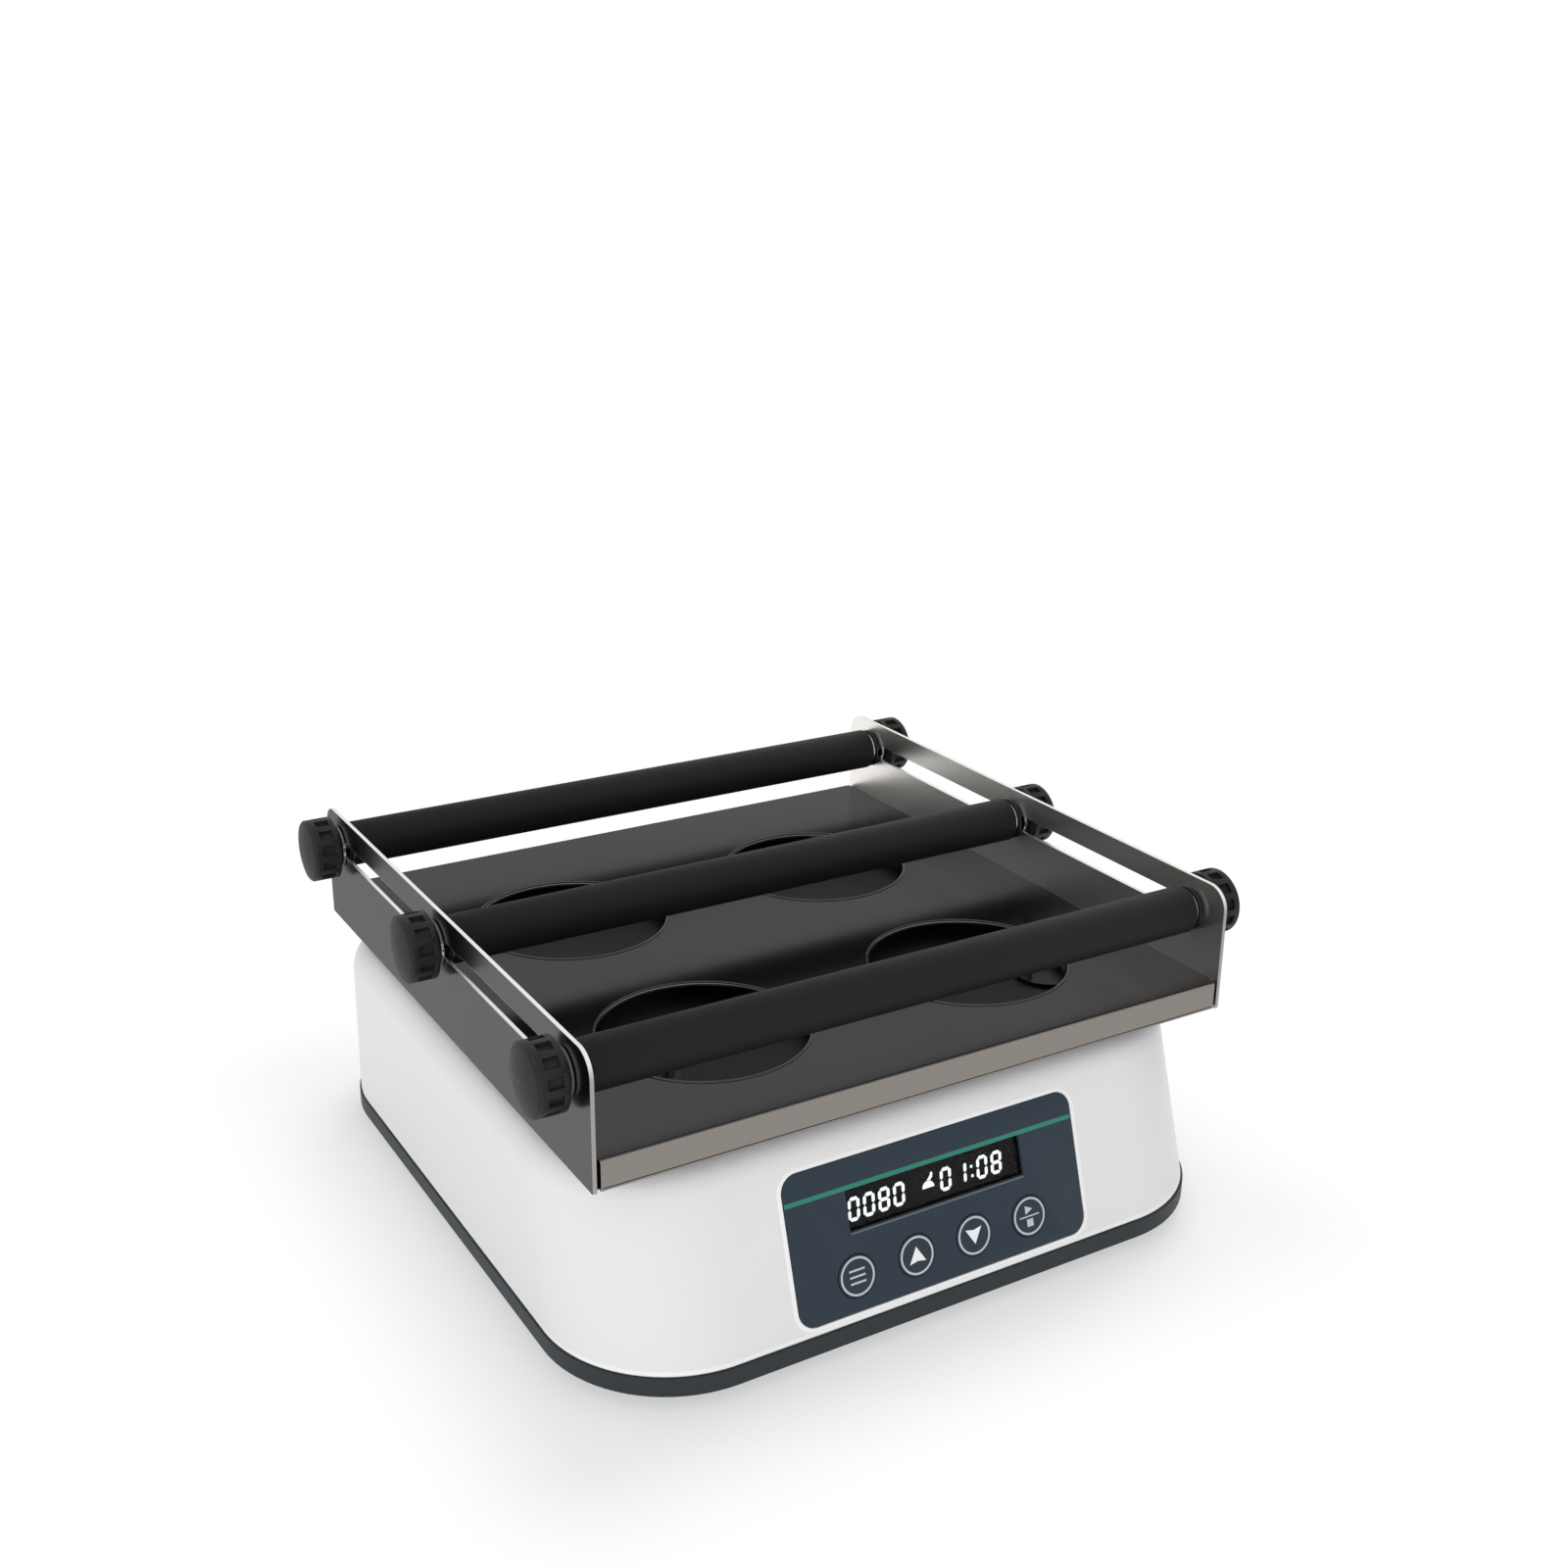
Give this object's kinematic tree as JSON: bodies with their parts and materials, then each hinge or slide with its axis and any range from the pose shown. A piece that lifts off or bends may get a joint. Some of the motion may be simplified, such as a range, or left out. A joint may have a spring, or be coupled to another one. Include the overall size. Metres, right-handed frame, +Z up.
{
  "type": "laboratory shaker",
  "caption": "Orbital laboratory shaker: a low housing with a leaning control panel carries a slotted steel tray whose rubber-sleeved clamping bars slide and lock with knobs.",
  "frame": {"origin": "on the bench, under the middle of the housing's outline", "axes": "+X to the operator's right, along the clamping bars; +Y to the back, away from the control panel; +Z up, along the crank axes"},
  "size_m": [0.2976, 0.2848, 0.1344],
  "materials": {
    "white_housing": "satin moulded",
    "dark_pan": "fine moulded texture",
    "panel_film": "printed film",
    "clear_window": "clear",
    "display": "dark display",
    "circuit_board": "solder mask",
    "key_plastic": "printed key",
    "polished_steel": "mirror polished",
    "plated_steel": "zinc plated",
    "bearing_steel": "ground",
    "turned_aluminium": "turned",
    "black_rubber": "matte",
    "knob_plastic": "moulded",
    "motor_paint": "satin",
    "black_plastic": "moulded",
    "contact_brass": "tinned"
  },
  "bodies": {
    "base": {"base_cover": "white_housing", "base_pan": "dark_pan", "rubber_feet": "black_rubber", "cover_screws": "plated_steel", "chassis_plate": "plated_steel", "chassis_pillars": "turned_aluminium", "chassis_screws": "plated_steel", "drive_housing": "turned_aluminium", "drive_bearings": "bearing_steel", "idler_housings": "turned_aluminium", "idler_bearings": "bearing_steel", "drive_belt": "black_rubber", "motor_body": "motor_paint", "control_panel": "panel_film", "lcd_window": "clear_window", "lcd_module": "display", "control_board": "circuit_board", "board_screws": "plated_steel", "supply_board": "circuit_board", "power_inlet": "black_plastic", "inlet_blades": "contact_brass", "switch_frame": "black_plastic"},
    "crank": {"drive_crank": "plated_steel", "counterweight": "plated_steel", "drive_pulley": "turned_aluminium"},
    "rotor": {"motor_shaft": "plated_steel", "motor_pulley": "turned_aluminium"},
    "platform": {"carrier_plate": "plated_steel", "carrier_bearings": "bearing_steel", "bearing_caps": "plated_steel", "cap_screws": "plated_steel", "tray_spacers": "black_rubber", "tray_studs": "plated_steel", "tray_nuts": "plated_steel", "tray_plate": "polished_steel", "side_plate_left": "polished_steel", "side_plate_right": "polished_steel"},
    "rocker": {"switch_rocker": "black_plastic"},
    "idler_front_left": {"idler_crank_front_left": "plated_steel"},
    "idler_front_right": {"idler_crank_front_right": "plated_steel"},
    "idler_back_left": {"idler_crank_back_left": "plated_steel"},
    "idler_back_right": {"idler_crank_back_right": "plated_steel"},
    "bar_front": {"bar_rod_front": "polished_steel", "bar_sleeve_front": "black_rubber"},
    "knob_front_left": {"knob_front_left": "knob_plastic"},
    "knob_front_right": {"knob_front_right": "knob_plastic"},
    "bar_middle": {"bar_rod_middle": "polished_steel", "bar_sleeve_middle": "black_rubber"},
    "knob_middle_left": {"knob_middle_left": "knob_plastic"},
    "knob_middle_right": {"knob_middle_right": "knob_plastic"},
    "bar_back": {"bar_rod_back": "polished_steel", "bar_sleeve_back": "black_rubber"},
    "knob_back_left": {"knob_back_left": "knob_plastic"},
    "knob_back_right": {"knob_back_right": "knob_plastic"},
    "key_menu": {"key_menu": "key_plastic"},
    "key_up": {"key_up": "key_plastic"},
    "key_down": {"key_down": "key_plastic"},
    "key_start": {"key_start": "key_plastic"}
  },
  "joints": [
    {"name": "drive_spin", "type": "hinge", "parent": "base", "child": "crank", "pos_m": [0, -0.0025, 0.075], "axis": [0, 0, 1], "continuous": true},
    {"name": "platform_pivot", "type": "hinge", "parent": "crank", "child": "platform", "pos_m": [0, 0.0025, 0.087], "axis": [0, 0, 1], "continuous": true},
    {"name": "motor_spin", "type": "hinge", "parent": "base", "child": "rotor", "pos_m": [0, 0.082, 0.058], "axis": [0, 0, 1], "continuous": true},
    {"name": "idler_spin_front_left", "type": "hinge", "parent": "base", "child": "idler_front_left", "pos_m": [-0.09, -0.081, 0.07], "axis": [0, 0, 1], "continuous": true},
    {"name": "idler_spin_front_right", "type": "hinge", "parent": "base", "child": "idler_front_right", "pos_m": [0.09, -0.081, 0.07], "axis": [0, 0, 1], "continuous": true},
    {"name": "idler_spin_back_left", "type": "hinge", "parent": "base", "child": "idler_back_left", "pos_m": [-0.09, 0.076, 0.07], "axis": [0, 0, 1], "continuous": true},
    {"name": "idler_spin_back_right", "type": "hinge", "parent": "base", "child": "idler_back_right", "pos_m": [0.09, 0.076, 0.07], "axis": [0, 0, 1], "continuous": true},
    {"name": "bar_slide_front", "type": "slide", "parent": "platform", "child": "bar_front", "axis": [0, 1, 0], "range_m": [-0.0039, 0.064]},
    {"name": "bar_slide_middle", "type": "slide", "parent": "platform", "child": "bar_middle", "axis": [0, 1, 0], "range_m": [-0.022, 0.022]},
    {"name": "bar_slide_back", "type": "slide", "parent": "platform", "child": "bar_back", "axis": [0, 1, 0], "range_m": [-0.063, 0.0009]},
    {"name": "knob_turn_front_left", "type": "hinge", "parent": "bar_front", "child": "knob_front_left", "pos_m": [-0.14, -0.1085, 0.1207], "axis": [-1, 0, 0], "range_deg": [0, 360]},
    {"name": "knob_turn_front_right", "type": "hinge", "parent": "bar_front", "child": "knob_front_right", "pos_m": [0.14, -0.1085, 0.1207], "axis": [1, 0, 0], "range_deg": [0, 360]},
    {"name": "knob_turn_middle_left", "type": "hinge", "parent": "bar_middle", "child": "knob_middle_left", "pos_m": [-0.14, 0.0045, 0.1207], "axis": [-1, 0, 0], "range_deg": [0, 360]},
    {"name": "knob_turn_middle_right", "type": "hinge", "parent": "bar_middle", "child": "knob_middle_right", "pos_m": [0.14, 0.0045, 0.1207], "axis": [1, 0, 0], "range_deg": [0, 360]},
    {"name": "knob_turn_back_left", "type": "hinge", "parent": "bar_back", "child": "knob_back_left", "pos_m": [-0.14, 0.1165, 0.1207], "axis": [-1, 0, 0], "range_deg": [0, 360]},
    {"name": "knob_turn_back_right", "type": "hinge", "parent": "bar_back", "child": "knob_back_right", "pos_m": [0.14, 0.1165, 0.1207], "axis": [1, 0, 0], "range_deg": [0, 360]},
    {"name": "key_press_menu", "type": "slide", "parent": "base", "child": "key_menu", "axis": [0, 0.9548, -0.2974], "range_m": [0, 0.0005], "stiffness_N_per_m": 400, "springref_m": -0.001},
    {"name": "key_press_up", "type": "slide", "parent": "base", "child": "key_up", "axis": [0, 0.9548, -0.2974], "range_m": [0, 0.0005], "stiffness_N_per_m": 400, "springref_m": -0.001},
    {"name": "key_press_down", "type": "slide", "parent": "base", "child": "key_down", "axis": [0, 0.9548, -0.2974], "range_m": [0, 0.0005], "stiffness_N_per_m": 400, "springref_m": -0.001},
    {"name": "key_press_start", "type": "slide", "parent": "base", "child": "key_start", "axis": [0, 0.9548, -0.2974], "range_m": [0, 0.0005], "stiffness_N_per_m": 400, "springref_m": -0.001},
    {"name": "rocker_tilt", "type": "hinge", "parent": "base", "child": "rocker", "pos_m": [-0.034, 0.1361, 0.0344], "axis": [1, 0, 0], "range_deg": [0, 20]}
  ],
  "couplings": [
    {"joint": "platform_pivot", "follows": "drive_spin", "ratio": -1},
    {"joint": "motor_spin", "follows": "drive_spin", "ratio": 3},
    {"joint": "idler_spin_front_left", "follows": "drive_spin", "ratio": 1},
    {"joint": "idler_spin_front_right", "follows": "drive_spin", "ratio": 1},
    {"joint": "idler_spin_back_left", "follows": "drive_spin", "ratio": 1},
    {"joint": "idler_spin_back_right", "follows": "drive_spin", "ratio": 1}
  ]
}
